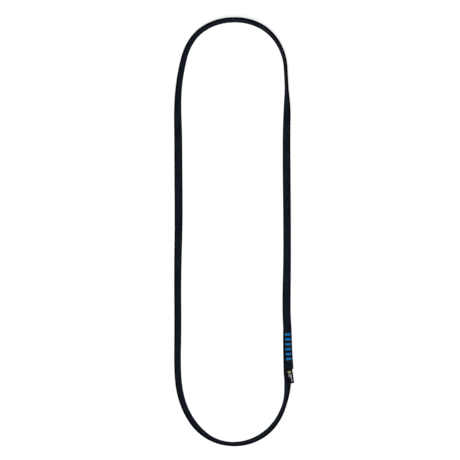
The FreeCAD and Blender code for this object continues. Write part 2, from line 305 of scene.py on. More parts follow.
@dataclass
class StrapLine:
    """The strap's middle line, read from its route's spline, and how the strap lies along it.

    The strap's inner edge rests on what is under it. The spline's height says how far its middle is
    raised over that, and so how much the strap leans.
    """

    sizes: SlingSizes
    spline_steps: int = 40
    distance: np.ndarray = field(init=False)
    points: np.ndarray = field(init=False)
    heading: np.ndarray = field(init=False)

    def __post_init__(self) -> None:
        """Read the spline and measure along it."""
        rest = self.sizes.thickness / 2
        raised = [self.sizes.reach * math.sin(math.radians(p.lean_deg)) for p in ROUTE]
        controls = [(p.x, p.y, rest + height) for p, height in zip(ROUTE, raised)]
        points = spline_points(controls, self.spline_steps)
        steps = np.linalg.norm(np.diff(points[:, :2], axis=0), axis=1)
        kept = np.concatenate([[True], steps > SAME_PLACE])
        self.points = points[kept]
        steps = np.linalg.norm(np.diff(self.points[:, :2], axis=0), axis=1)
        self.distance = np.concatenate([[0.0], np.cumsum(steps)])
        tangent = np.gradient(self.points[:, :2], self.distance, axis=0)
        self.heading = tangent / np.linalg.norm(tangent, axis=1, keepdims=True)

    @property
    def length(self) -> float:
        """The strap's length."""
        return float(self.distance[-1])

    @property
    def overlap(self) -> float:
        """The lap's length."""
        return float(self.points[0, 1] - self.points[-1, 1])

    @property
    def climb(self) -> tuple[float, float]:
        """Where the upper ply climbs over the lower ply's hidden end."""
        over = self.length - self.overlap - self.sizes.climb_margin
        return over - self.sizes.ramp_length, over

    @property
    def tack_spacing(self) -> float:
        """The distance from one bartack to the next."""
        sewn = self.overlap - self.sizes.tack_from_hidden_end - self.sizes.tack_from_cut_end
        return sewn / (self.sizes.tack_count - 1)

    def tack_distance(self, number: int) -> float:
        """Say how far along the strap a bartack sits, counted from 1 at the hidden end."""
        later = self.sizes.tack_count - number
        return self.length - self.sizes.tack_from_cut_end - later * self.tack_spacing

    def lift(self, distance: np.ndarray) -> np.ndarray:
        """Give the height of the strap's inner edge over the floor.

        Args:
            distance: Distances along the strap, in metres.

        Returns:
            The height at each.
        """
        s = self.sizes
        last = self.tack_distance(s.tack_count)
        half_tack = s.tack_length / 2
        settled = smooth_step(distance, self.overlap, self.overlap + s.settle_length)
        step = smooth_step(distance, last - self.tack_spacing + half_tack, last - half_tack)
        over_label = (s.label_lift - s.sewn_lift) * step
        climbed = s.sewn_lift * smooth_step(distance, *self.climb) + over_label
        return np.where(distance < self.length / 2, s.lower_lift * (1 - settled), climbed)

    def lean(self, distance: np.ndarray) -> np.ndarray:
        """Give the strap's lean, which is none in the lap.

        Args:
            distance: Distances along the strap, in metres.

        Returns:
            The lean at each, in radians.
        """
        s = self.sizes
        raised = np.interp(distance, self.distance, self.points[:, 2]) - s.thickness / 2
        lean = np.arcsin(np.clip(raised / s.reach, 0.0, 1.0))
        flat_from = self.climb[0] - s.flat_length
        before = smooth_step(distance, self.overlap, self.overlap + s.twist_length)
        after = 1 - smooth_step(distance, flat_from - s.twist_length, flat_from)
        return lean * before * after

    def frames(self, distance: np.ndarray) -> Frames:
        """Give the strap's middle and directions.

        Args:
            distance: Distances along the strap, in metres.

        Returns:
            One row for each distance in each of its arrays.
        """
        s = self.sizes
        plan = read_rows(distance, self.distance, self.points[:, :2])
        heading = read_rows(distance, self.distance, self.heading)
        heading /= np.linalg.norm(heading, axis=1, keepdims=True)
        flat = np.zeros(len(distance))
        along = np.column_stack([heading, flat])
        outward = np.column_stack([-heading[:, 1], heading[:, 0], flat])
        lean = self.lean(distance)[:, None]
        across = outward * np.cos(lean) + UP * np.sin(lean)
        through = UP * np.cos(lean) - outward * np.sin(lean)
        height = self.lift(distance) + s.thickness / 2 + s.reach * np.sin(lean[:, 0])
        return Frames(np.column_stack([plan, height]), along, across, through)


def link(name: str, data: bpy.types.ID) -> bpy.types.Object:
    """Make an object and put it into the scene.

    Args:
        name: Its name.
        data: Its mesh, light or camera.

    Returns:
        The object.
    """
    made = bpy.data.objects.new(name, data)
    bpy.context.scene.collection.objects.link(made)
    return made


@dataclass
class MeshParts:
    """Vertices, faces and a map of runs, gathered for one piece."""

    points: list[np.ndarray] = field(default_factory=list)
    faces: list[tuple[int, ...]] = field(default_factory=list)
    runs: list[tuple[float, float]] = field(default_factory=list)
    plots: list[tuple[float, float]] = field(default_factory=list)
    count: int = 0

    def add(
        self,
        points: np.ndarray,
        faces: Sequence[Sequence[int]],
        runs: np.ndarray,
        plots: np.ndarray | None = None,
    ) -> None:
        """Add some faces.

        Args:
            points: Vertices, in metres.
            faces: Corner numbers into points.
            runs: The map at each corner of each face in turn, in millimetres.
            plots: The same for a map from 0 to 1 on which no faces overlap, if the piece has one.
        """
        self.faces.extend(tuple(corner + self.count for corner in face) for face in faces)
        self.points.append(np.asarray(points, float))
        self.runs.extend(map(tuple, np.asarray(runs, float)))
        if plots is not None:
            self.plots.extend(map(tuple, np.asarray(plots, float)))
        self.count += len(points)

    def build(self, name: str, slot: Slot, material: bpy.types.Material) -> bpy.types.Object:
        """Make the piece.

        Args:
            name: The piece's name.
            slot: The record's slot; not used.
            material: Its material.

        Returns:
            The object, linked into the scene.
        """
        mesh = bpy.data.meshes.new(name)
        mesh.from_pydata(np.vstack(self.points).tolist(), [], self.faces)
        for label, places in ((RUN_MAP, self.runs), (BAKE_MAP, self.plots)):
            if places:
                layer = mesh.uv_layers.new(name=label)
                layer.uv.foreach_set("vector", np.asarray(places, np.float32).ravel())
        mesh.polygons.foreach_set("use_smooth", [True] * len(self.faces))
        mesh.materials.append(material)
        mesh.update()
        piece = link(name, mesh)
        return piece


def grid_faces(rows: int, columns: int, closed: bool) -> np.ndarray:
    """Number the quads of a grid of vertices, row by row.

    Args:
        rows: Rows of vertices.
        columns: Vertices in a row.
        closed: Whether each row is a ring.

    Returns:
        Four corners for each quad, facing up where rows run along and columns across.
    """
    last = columns if closed else columns - 1
    row, column = np.meshgrid(np.arange(rows - 1), np.arange(last), indexing="ij")
    after = (column + 1) % columns
    first = row * columns
    second = (row + 1) * columns
    quads = np.stack([first + column, second + column, second + after, first + after], -1)
    return quads.reshape(-1, 4)


def grid_runs(u: np.ndarray, v: np.ndarray, columns: int, closed: bool) -> np.ndarray:
    """Map a grid's quads.

    Args:
        u: The map across, one more than the columns where each row is a ring.
        v: The map along, one for each row.
        columns: Vertices in a row.
        closed: Whether each row is a ring.

    Returns:
        The map at the four corners of each quad, in the order of grid_faces.
    """
    last = columns if closed else columns - 1
    row, column = np.meshgrid(np.arange(len(v) - 1), np.arange(last), indexing="ij")
    corners = [(row, column), (row + 1, column), (row + 1, column + 1), (row, column + 1)]
    runs = [np.stack([u[c], v[r]], -1) for r, c in corners]
    return np.stack(runs, 2).reshape(-1, 2)


def tube(path: np.ndarray, radius: float, sides: int) -> tuple[np.ndarray, list, np.ndarray]:
    """Make a closed round tube along a path.

    Args:
        path: Points that the tube follows, in metres.
        radius: Its radius.
        sides: Vertices round it.

    Returns:
        Its vertices, faces and map.
    """
    tangent = np.gradient(path, axis=0)
    tangent /= np.linalg.norm(tangent, axis=1, keepdims=True)
    side = np.cross(tangent, UP)
    side /= np.linalg.norm(side, axis=1, keepdims=True)
    top = np.cross(side, tangent)
    angles = (TURN * np.arange(sides) / sides)[:, None]
    rim = np.cos(angles) * side[:, None, :] + np.sin(angles) * top[:, None, :]
    points = (path[:, None, :] + radius * rim).reshape(-1, 3)
    steps = np.linalg.norm(np.diff(path, axis=0), axis=1)
    run = np.concatenate([[0.0], np.cumsum(steps)]) / MM
    faces = grid_faces(len(path), sides, True).tolist()
    runs = grid_runs(np.linspace(0, 1, sides + 1), run, sides, True)
    caps = [list(range(sides)), [len(points) - 1 - i for i in range(sides)]]
    return points, faces + caps, np.vstack([runs, np.zeros((2 * sides, 2))])


def slab_faces(rows: int, columns: int) -> np.ndarray:
    """Number the faces of a thin slab between two grids of vertices, one after the other.

    Args:
        rows: Rows of vertices in each grid.
        columns: Vertices in a row.

    Returns:
        Four corners for each face of the upper grid, the lower grid and the walls.
    """
    number = np.arange(rows * columns).reshape(rows, columns)
    upper = grid_faces(rows, columns, False)
    ring = [number[:, 0], number[-1, 1:], number[-2::-1, -1], number[0, -2:0:-1]]
    here = np.concatenate(ring)
    after = np.roll(here, -1)
    walls = np.stack([here, after, after + number.size, here + number.size], 1)
    return np.vstack([upper, upper[:, ::-1] + number.size, walls])


def face_outwards(piece: bpy.types.Object, weld: float = 0.0) -> None:
    """Turn every face outwards.

    Args:
        piece: The piece.
        weld: Vertices that lie this close are joined first.
    """
    work = bmesh.new()
    work.from_mesh(piece.data)
    if weld:
        bmesh.ops.remove_doubles(work, verts=work.verts, dist=weld)
    bmesh.ops.recalc_face_normals(work, faces=work.faces)
    work.to_mesh(piece.data)
    work.free()


class Graph:
    """A node tree, with short ways to add to it."""

    def __init__(self, tree: bpy.types.NodeTree) -> None:
        """Take the tree to add to."""
        self.tree = tree

    def node(
        self, kind: str, feeds: dict[str | int, object] | None = None, **settings: object
    ) -> bpy.types.Node:
        """Add a node.

        Args:
            kind: Its type.
            feeds: What goes into its inputs, by name or number.
            settings: Its properties.

        Returns:
            The node.
        """
        made = self.tree.nodes.new(kind)
        for name, value in settings.items():
            setattr(made, name, value)
        self.feed_all(made, feeds or {})
        return made

    def feed(self, socket: bpy.types.NodeSocket, value: object) -> None:
        """Link a socket to another one, or set its value.

        Args:
            socket: The socket.
            value: The other socket, or the value.
        """
        if isinstance(value, bpy.types.NodeSocket):
            self.tree.links.new(value, socket)
        else:
            socket.default_value = value

    def feed_all(self, node: bpy.types.Node, feeds: dict[str | int, object]) -> None:
        """Link some of a node's inputs, by name or number, or set their values."""
        for key, value in feeds.items():
            self.feed(node.inputs[key], value)

    def math(self, operation: str, *values: object) -> bpy.types.NodeSocket:
        """Add a Math node and return its result."""
        return self.node("ShaderNodeMath", dict(enumerate(values)), operation=operation).outputs[0]

    def times(self, first: object, second: object) -> bpy.types.NodeSocket:
        """Multiply two values."""
        return self.math("MULTIPLY", first, second)

    def scaled(self, value: object, factor: object, plus: object) -> bpy.types.NodeSocket:
        """Multiply a value by a factor and add something."""
        return self.math("MULTIPLY_ADD", value, factor, plus)

    def mix(self, factor: object, first: object, second: object) -> bpy.types.NodeSocket:
        """Add a colour Mix node and return its result."""
        feeds = {"Factor": factor, 6: first, 7: second}
        return self.node("ShaderNodeMix", feeds, data_type="RGBA").outputs[2]

    def spread(
        self, value: object, low: float, high: float, start: float, end: float
    ) -> bpy.types.NodeSocket:
        """Map a value from one range to another, kept within it."""
        feeds = dict(enumerate((value, low, high, start, end)))
        return self.node("ShaderNodeMapRange", feeds).outputs[0]

    def noise(self, vector: object, scale: float, detail: float) -> bpy.types.NodeSocket:
        """Add a Noise texture and return its value."""
        feeds = {"Vector": vector, "Scale": scale, "Detail": detail}
        return self.node("ShaderNodeTexNoise", feeds).outputs["Fac"]

    def bump(self, height: object, distance: float, strength: float) -> bpy.types.NodeSocket:
        """Add a Bump node and return its normal."""
        feeds = {"Height": height, "Distance": distance, "Strength": strength}
        return self.node("ShaderNodeBump", feeds).outputs["Normal"]

    def painted(self, name: str) -> bpy.types.NodeSocket:
        """Read one of the mesh's own values."""
        return self.node("ShaderNodeAttribute", attribute_name=name).outputs["Fac"]

    def call(self, group: bpy.types.NodeTree, **values: object) -> bpy.types.NodeOutputs:
        """Place a group, feed its inputs and return its outputs."""
        return self.node("ShaderNodeGroup", values, node_tree=group).outputs


def new_group(
    name: str, inputs: dict[str, tuple[str, float]], outputs: dict[str, str]
) -> tuple[Graph, dict, dict]:
    """Start a shader node group.

    Args:
        name: The group's name.
        inputs: Socket type and default for each input's name.
        outputs: Socket type for each output's name.

    Returns:
        The graph, the group's inputs as sockets to read, and its outputs as sockets to feed.
    """
    tree = bpy.data.node_groups.new(name, "ShaderNodeTree")
    for label, (kind, value) in inputs.items():
        socket = tree.interface.new_socket(label, in_out="INPUT", socket_type=kind)
        if kind == FLOAT:
            socket.default_value = value
    for label, kind in outputs.items():
        tree.interface.new_socket(label, in_out="OUTPUT", socket_type=kind)
    graph = Graph(tree)
    given = graph.node("NodeGroupInput")
    result = graph.node("NodeGroupOutput")
    return graph, dict(given.outputs.items()), dict(result.inputs.items())


def woven_group() -> bpy.types.NodeTree:
    """Make the group for woven tape: columns of warp yarn that float over the picks in turn.

    Returns:
        A group that takes places across and along the tape in millimetres and gives the yarn's
        height, a mask of its crowns, and a tone of its own for each float.
    """
    defaults = {"Across": 0.0, "Along": 0.0, "Column": 1.0, "Pick": 1.2}
    defaults |= {"Filaments": 4.0, "Slant": 1.0}
    inputs = {name: (FLOAT, value) for name, value in defaults.items()}
    outputs = {"Height": FLOAT, "Crown": FLOAT, "Tone": FLOAT}
    graph, given, result = new_group("woven_tape", inputs, outputs)
    place = graph.math("DIVIDE", given["Across"], given["Column"])
    column = graph.math("FLOOR", place)
    inside = graph.math("SUBTRACT", graph.math("SUBTRACT", place, column), 0.5)
    parity = graph.math("MODULO", column, 2.0)
    picks = graph.math("DIVIDE", given["Along"], graph.times(given["Pick"], 2.0))
    float_place = graph.math("ADD", graph.scaled(parity, 0.5, picks), PICK_START)
    wave = graph.math("SINE", graph.times(float_place, TURN))
    rounded = graph.scaled(graph.times(inside, inside), -4.0, 1.0)
    crest = graph.math("SQRT", graph.math("MAXIMUM", rounded, 0.0))
    sign = graph.scaled(parity, 2.0, -1.0)
    drift = graph.times(graph.times(given["Along"], given["Slant"]), sign)
    lines = graph.scaled(inside, given["Filaments"], drift)
    filament = graph.math("SINE", graph.times(lines, TURN))
    crown = graph.times(crest, graph.scaled(wave, 0.5, 0.5))
    body = graph.scaled(crown, FLOAT_RISE, graph.times(crest, COLUMN_RISE))
    graph.feed(result["Height"], graph.scaled(filament, FILAMENT_RISE, body))
    graph.feed(result["Crown"], crown)
    cell = graph.node("ShaderNodeCombineXYZ", {0: column, 1: graph.math("FLOOR", float_place)})
    tones = {"Vector": cell.outputs[0]}
    white = graph.node("ShaderNodeTexWhiteNoise", tones, noise_dimensions="2D")
    graph.feed(result["Tone"], white.outputs["Value"])
    return graph.tree


def fibre_group() -> bpy.types.NodeTree:
    """Make the group for loose fibre on cloth: fine fluff, and larger rubbed or dusty patches.

    Returns:
        A group that takes a place and gives the fluff's height, and a mask of the rubbed patches.
    """
    inputs = {
        "Place": ("NodeSocketVector", 0.0),
        "Fluff": (FLOAT, 4000.0),
        "Patch": (FLOAT, 60.0),
    }
    graph, given, result = new_group("loose_fibre", inputs, {"Height": FLOAT, "Rubbed": FLOAT})
    fine = graph.noise(given["Place"], given["Fluff"], FLUFF_DETAIL)
    broad = graph.noise(given["Place"], given["Patch"], PATCH_DETAIL)
    both = graph.scaled(fine, FLUFF_SHARE, graph.times(broad, PATCH_SHARE))
    graph.feed(result["Height"], fine)
    graph.feed(result["Rubbed"], graph.spread(both, RUBBED_FROM, RUBBED_TO, 0.0, 1.0))
    return graph.tree


def twist_group() -> bpy.types.NodeTree:
    """Make the group for twisted thread.

    Returns:
        A group that takes a place round the thread, from 0 to 1, and along it in millimetres, and
        gives the plies' height.
    """
    defaults = {"Around": 0.0, "Along": 0.0, "Plies": 3.0, "Lay": 1.0}
    inputs = {name: (FLOAT, value) for name, value in defaults.items()}
    graph, given, result = new_group("twisted_thread", inputs, {"Height": FLOAT})
    turned = graph.math("DIVIDE", given["Along"], given["Lay"])
    place = graph.scaled(given["Around"], given["Plies"], turned)
    part = graph.math("ABSOLUTE", graph.math("SINE", graph.times(place, math.pi)))
    graph.feed(result["Height"], graph.math("SQRT", part))
    return graph.tree


@dataclass
class ClothGroups:
    """The shader node groups that the finishes share, built once."""

    woven: bpy.types.NodeTree = field(default_factory=woven_group)
    fibre: bpy.types.NodeTree = field(default_factory=fibre_group)
    twist: bpy.types.NodeTree = field(default_factory=twist_group)


def new_material(name: str) -> tuple[bpy.types.Material, Graph, bpy.types.Node]:
    """Start a material.

    Args:
        name: The material's name.

    Returns:
        The material, its graph and its Principled shader.
    """
    material = bpy.data.materials.new(name)
    material.use_nodes = True
    graph = Graph(material.node_tree)
    shader = material.node_tree.nodes["Principled BSDF"]
    return material, graph, shader


def run_place(graph: Graph) -> tuple[bpy.types.NodeSocket, bpy.types.NodeSocket]:
    """Read the map of runs.

    Args:
        graph: The graph that reads it.

    Returns:
        The place across and the place along.
    """
    uv = graph.node("ShaderNodeUVMap", uv_map=RUN_MAP)
    split = graph.node("ShaderNodeSeparateXYZ", {0: uv.outputs[0]})
    return split.outputs[0], split.outputs[1]


@dataclass(frozen=True)
class WovenFinish:
    """Cloth woven from dyed yarn, with heat-sealed ends."""

    name: str
    # groove is painted shade: the dark colour in the gaps between the yarn floats
    groove: Colour
    crown: Colour
    dust: Colour
    melted: Colour
    column: float
    pick: float
    filaments: float
    slant: float
    relief: float
    roughness: tuple[float, float]
    specular: float
    sheen: float
    # how far the painted shade darkens the rounded edges
    edge_shade_depth: float = 0.0
    darkest_float: float = 0.55
    float_spread: float = 0.5
    dust_share: float = 0.35
    melt_gloss: float = 0.4
    melt_relief: float = 0.15
    fluff_rise: float = 0.25
    sheen_roughness: float = 0.45
    bump_strength: float = 0.9

    def material(self, groups: ClothGroups) -> bpy.types.Material:
        """Make the material.

        Args:
            groups: The shared node groups.

        Returns:
            The material.
        """
        made, graph, shader = new_material(self.name)
        across, along = run_place(graph)
        weave = graph.call(
            groups.woven,
            Across=across,
            Along=along,
            Column=self.column,
            Pick=self.pick,
            Filaments=self.filaments,
            Slant=self.slant,
        )
        where = graph.node("ShaderNodeTexCoord").outputs["Object"]
        fibre = graph.call(groups.fibre, Place=where)
        melt, edge = graph.painted(MELT), graph.painted(EDGE_SHADE)
        tone = graph.scaled(weave["Tone"], self.float_spread, self.darkest_float)
        # painted shade: the rounded edges lose the crown colour and dust and go near-black
        middle = graph.scaled(edge, -self.edge_shade_depth, 1.0)
        lit = graph.times(graph.times(weave["Crown"], tone), middle)
        # painted shade: the grooves between the floats take the dark groove colour, the crowns the
        # lighter crown colour
        cloth = graph.mix(lit, self.groove, self.crown)
        rubbed = graph.times(graph.times(fibre["Rubbed"], self.dust_share), middle)
        dusty = graph.mix(rubbed, cloth, self.dust)
        rough = graph.spread(weave["Crown"], 0.0, 1.0, *self.roughness)
        height = graph.scaled(fibre["Height"], self.fluff_rise, weave["Height"])
        kept = graph.times(height, graph.spread(melt, 0.0, 1.0, 1.0, self.melt_relief))
        graph.feed_all(shader, {
            "Base Color": graph.mix(melt, dusty, self.melted),
            "Roughness": graph.math("SUBTRACT", rough, graph.times(melt, self.melt_gloss)),
            "Specular IOR Level": self.specular,
            "Sheen Weight": self.sheen,
            "Sheen Roughness": self.sheen_roughness,
            "Normal": graph.bump(kept, self.relief, self.bump_strength),
        })
        return made


@dataclass(frozen=True)
class ThreadFinish:
    """Bonded sewing thread."""

    name: str
    base: Colour
    # colour of rubbed wear, and also painted shade in the grooves between the plies
    worn_and_shaded: Colour
    lay: float
    roughness: float
    specular: float
    sheen: float = 0.1
    fluff: float = 6000.0
    patch: float = 500.0
    ply_crest: float = 0.7
    wear: float = 0.3
    smoother: float = 0.08
    rougher: float = 0.1
    fluff_range: tuple[float, float] = (0.3, 0.7)
    fluff_rise: float = 0.3
    relief: float = 0.05 * MM
    bump_strength: float = 0.8

    def material(self, groups: ClothGroups) -> bpy.types.Material:
        """Make the material.

        Args:
            groups: The shared node groups.

        Returns:
            The material.
        """
        made, graph, shader = new_material(self.name)
        around, along = run_place(graph)
        twist = graph.call(groups.twist, Around=around, Along=along, Lay=self.lay)["Height"]
        where = graph.node("ShaderNodeTexCoord").outputs["Object"]
        fibre = graph.call(groups.fibre, Place=where, Fluff=self.fluff, Patch=self.patch)
        # painted shade: the grooves between the twisted plies take the darker colour
        between = graph.spread(twist, 0.0, self.ply_crest, 1.0, 0.0)
        ply_shaded = graph.mix(between, self.base, self.worn_and_shaded)
        least, most = self.roughness - self.smoother, self.roughness + self.rougher
        height = graph.scaled(fibre["Height"], self.fluff_rise, twist)
        graph.feed_all(shader, {
            "Base Color": graph.mix(graph.times(fibre["Rubbed"], self.wear), ply_shaded, self.worn_and_shaded),
            "Roughness": graph.spread(fibre["Height"], *self.fluff_range, least, most),
            "Specular IOR Level": self.specular,
            "Sheen Weight": self.sheen,
            "Normal": graph.bump(height, self.relief, self.bump_strength),
        })
        return made


WEBBING_FINISH = WovenFinish(
    name="black_webbing",
    # groove: painted shade between the yarn floats
    groove=(0.0010, 0.0016, 0.0028, 1.0),
    crown=(0.0275, 0.0385, 0.0640, 1.0),
    dust=(0.026, 0.036, 0.054, 1.0),
    melted=(0.006, 0.006, 0.007, 1.0),
    column=0.9375,
    pick=1.2,
    filaments=5.0,
    slant=1.6,
    relief=0.16 * MM,
    roughness=(0.95, 0.60),
    specular=0.02,
    sheen=0.0,
    # painted shade on the rounded edges
    edge_shade_depth=0.95,
)
LABEL_FINISH = WovenFinish(
    name="black_label_tape",
    # groove: painted shade between the yarn floats
    groove=(0.0015, 0.0015, 0.002, 1.0),
    crown=(0.0100, 0.0125, 0.0200, 1.0),
    dust=(0.016, 0.018, 0.024, 1.0),
    melted=(0.004, 0.004, 0.005, 1.0),
    column=0.25,
    pick=0.35,
    filaments=2.0,
    slant=0.0,
    relief=0.05 * MM,
    roughness=(0.85, 0.6),
    specular=0.06,
    sheen=0.01,
)
BLUE_THREAD = ThreadFinish(
    name="blue_thread",
    base=(0.0040, 0.300, 0.780, 1.0),
    worn_and_shaded=(0.0015, 0.120, 0.380, 1.0),
    lay=0.9,
    roughness=0.5,
    specular=0.25,
)
GOLD_THREAD = ThreadFinish(
    name="pale_gold_thread",
    base=(0.56, 0.48, 0.27, 1.0),
    worn_and_shaded=(0.26, 0.21, 0.11, 1.0),
    lay=4.0,
    roughness=0.5,
    specular=0.3,
)
WHITE_THREAD = ThreadFinish(
    name="pale_grey_thread",
    base=(0.68, 0.71, 0.80, 1.0),
    worn_and_shaded=(0.32, 0.34, 0.40, 1.0),
    lay=4.0,
    roughness=0.55,
    specular=0.25,
)


@dataclass
class Webbing:
    """The strap: round-edged woven tape along the whole line, with heat-cut ends."""

    line: StrapLine
    ring_step: float = 0.0006
    face_columns: int = 8
    edge_columns: int = 3
    strips: int = 7
    strip_share: float = 0.91
    strip_margin: float = 0.01
    strip_inset: float = 0.02
    cap_share: float = 0.8
    pick_length: float = 0.0012
    groove_depth: float = 0.00013
    pick_height: float = 0.00006
    edge_calm: float = 0.45
    fullness: float = 1.03
    breadth_wander: float = 0.005
    breadth_wave: float = 0.05
    breadth_seed: int = 3
    depth_wander: float = 0.02
    depth_wave: float = 0.03
    depth_seed: int = 5
    melt_length: float = 0.0009
    melt_swell: float = 0.05
    melt_shrink: float = 0.28
    cut_skew: float = 0.14
    skew_pivot: float = 0.004
    skew_length: float = 0.006
    # half width of the blend into the painted shade on the rounded edges
    edge_shade_blend: float = 0.0009
    pinch_depth: float = 0.00012
    pinch_reach: float = 0.0013
    pinch_pull: float = 1.4
    pinch_narrow: float = 0.012
    puff: float = 0.4
    puffed_face: float = 0.5
    swelled_at: float = 0.5
    shrunk_from: float = 0.6
    cap_rings: tuple[tuple[float, float], ...] = ((0.93, 0.10), (0.72, 0.19), (0.35, 0.24))
    cap_tip: float = 0.25
    cap_room: float = 1.1
    cap_gap: float = 0.02
    cap_places: tuple[float, float] = (0.25, 0.75)
    path_points: int = 500

    def _profile(self) -> dict[str, np.ndarray]:
        """Lay out the section's vertices: a groove and a crest for each column of yarn.

        Returns:
            Each vertex's place, outward direction and run round the strap, whether it is on a
            crest, and under "round" the whole way round.
        """
        s = self.line.sizes
        radius = s.thickness / 2
        arc = math.pi * radius
        pitch = 2 * s.reach / self.face_columns
        rows: list[tuple[float, float, float, float, float, float]] = []
        run = 0.0
        for side in (1.0, -1.0):
            for half in range(2 * self.face_columns):
                at = half * pitch / 2
                rows.append((side * (at - s.reach), side * radius, 0.0, side, half % 2, run + at))
            run += 2 * s.reach
            for half in range(2 * self.edge_columns):
                part = half / (2 * self.edge_columns)
                normal = (side * math.sin(math.pi * part), side * math.cos(math.pi * part))
                place = (side * s.reach + radius * normal[0], radius * normal[1])
                rows.append((*place, *normal, half % 2, run + arc * part))
            run += arc
        keys = ("across", "through", "normal_across", "normal_through", "crest", "run")
        profile = dict(zip(keys, np.array(rows).T))
        profile["round"] = np.array([run])
        return profile

    def _pinches(self, distance: np.ndarray) -> tuple[np.ndarray, np.ndarray]:
        """Say how hard the bartacks pull the two plies in.

        Args:
            distance: Each ring's distance along the strap.

        Returns:
            The pull on the upper and on the lower ply, from 0 to about 1 for each ring.
        """
        line = self.line
        upper = np.zeros_like(distance)
        lower = np.zeros_like(distance)
        for number in range(1, line.sizes.tack_count + 1):
            place = line.tack_distance(number)
            below = line.overlap - (line.length - place)
            upper += np.exp(-(((distance - place) / self.pinch_reach) ** 2))
            lower += np.exp(-(((distance - below) / self.pinch_reach) ** 2))
        return upper, lower

    def _rings(
        self,
        distance: np.ndarray,
        frames: Frames,
        profile: dict[str, np.ndarray],
        melt: np.ndarray,
    ) -> np.ndarray:
        """Place the strap's rings of vertices.

        Args:
            distance: Each ring's distance along the strap.
            frames: The strap's middle and directions there.
            profile: The section's vertices.
            melt: How far each ring is melted, from 0 to 1.

        Returns:
            The points, rings by vertices by 3.
        """
        line = self.line
        column = np.arange(len(profile["crest"])) // 2
        phase = distance[:, None] / (2 * self.pick_length) + 0.5 * column[None, :] + PICK_START
        crest = profile["crest"][None, :]
        face = profile["normal_through"][None, :]
        lively = self.edge_calm + (1 - self.edge_calm) * np.abs(face)
        relief = crest * lively * self.pick_height * (np.sin(TURN * phase) - 1)
        relief = (relief - (1 - crest) * self.groove_depth) * (1 - melt[:, None])
        upper, lower = self._pinches(distance)
        pulled = np.where(face > 0, upper[:, None], lower[:, None]) * np.abs(face)
        sewn = ((distance > line.climb[1]) | (distance < line.overlap))[:, None]
        open_face = np.abs(face) > self.puffed_face
        puffed = np.where(sewn & open_face, self.puff * self.pinch_depth, 0.0)
        relief = relief + puffed - self.pinch_depth * self.pinch_pull * pulled
        wander = self.breadth_wander * slow_noise(distance, self.breadth_wave, self.breadth_seed)
        breadth = self.fullness + wander - self.pinch_narrow * (upper + lower)
        swell = self.melt_swell * smooth_step(melt, 0.0, self.swelled_at)
        shrink = self.melt_shrink * smooth_step(melt, self.shrunk_from, 1.0)
        depth = 1 + self.depth_wander * slow_noise(distance, self.depth_wave, self.depth_seed)
        depth = depth * (1 + swell - shrink)
        a = profile["across"] * breadth[:, None] + profile["normal_across"] * relief
        b = profile["through"] * depth[:, None] + profile["normal_through"] * relief
        to_cut = smooth_step(distance, line.length - self.skew_length, line.length)
        skew = to_cut[:, None] * (a - self.skew_pivot) * self.cut_skew
        points = frames.middle[:, None, :] + frames.across[:, None, :] * a[..., None]
        points = points + frames.through[:, None, :] * b[..., None]
        return points + frames.along[:, None, :] * skew[..., None]

    def build(self, groups: ClothGroups) -> bpy.types.Object:
        """Args:
            groups: The shared node groups.

        Returns:
            The piece.
        """
        line = self.line
        distance = np.linspace(0.0, line.length, round(line.length / self.ring_step) + 1)
        frames = line.frames(distance)
        profile = self._profile()
        columns = len(profile["crest"])
        from_end = np.minimum(distance, line.length - distance)
        melt = 1 - smooth_step(from_end, 0.0, self.melt_length)
        points = self._rings(distance, frames, profile, melt)
        u = np.append(profile["run"], profile["round"]) / MM
        quads = grid_faces(len(distance), columns, True).tolist()
        runs = grid_runs(u, distance / MM, columns, True)
        parts = MeshParts()
        parts.add(points.reshape(-1, 3), quads, runs, self._strips(runs, u[-1]))
        caps = [self._cap(parts, frames, points, end) for end in ENDS]
        piece = parts.build("webbing", Slot.WEBBING, WEBBING_FINISH.material(groups))
        # painted shade on the rounded edges, handed to the material as a mesh value
        edge_place = np.abs(profile["across"]) - line.sizes.reach
        edge = smooth_step(edge_place, -self.edge_shade_blend, self.edge_shade_blend)
        edges = np.concatenate([np.tile(edge, len(distance)), np.zeros(sum(caps))])
        melts = np.concatenate([np.repeat(melt, columns), np.ones(sum(caps))])
        for label, values in ((MELT, melts), (EDGE_SHADE, edges)):
            attribute = piece.data.attributes.new(label, "FLOAT", "POINT")
            attribute.data.foreach_set("value", values.astype(np.float32))
        face_outwards(piece, WELD)
        self._declare(piece)
        return piece

    def _strips(self, runs: np.ndarray, around: float) -> np.ndarray:
        """Cut the map of runs into even strips and lay them side by side between 0 and 1.

        Args:
            runs: The map at each quad's four corners in turn.
            around: The map's width right round the strap.

        Returns:
            The new map at the same corners.
        """
        strip = self.line.length / MM / self.strips
        along = runs[:, 1].reshape(-1, 4)
        number = np.clip(np.floor(along.mean(1, keepdims=True) / strip), 0, self.strips - 1)
        margin, inset = self.strip_margin, self.strip_inset
        u = np.clip(along / strip - number, -margin, 1 + margin) * self.strip_share + margin
        v = inset + (1 - 2 * inset) * runs[:, 0].reshape(-1, 4) / around
        return np.stack([u, (number + v) / self.strips], -1).reshape(-1, 2)

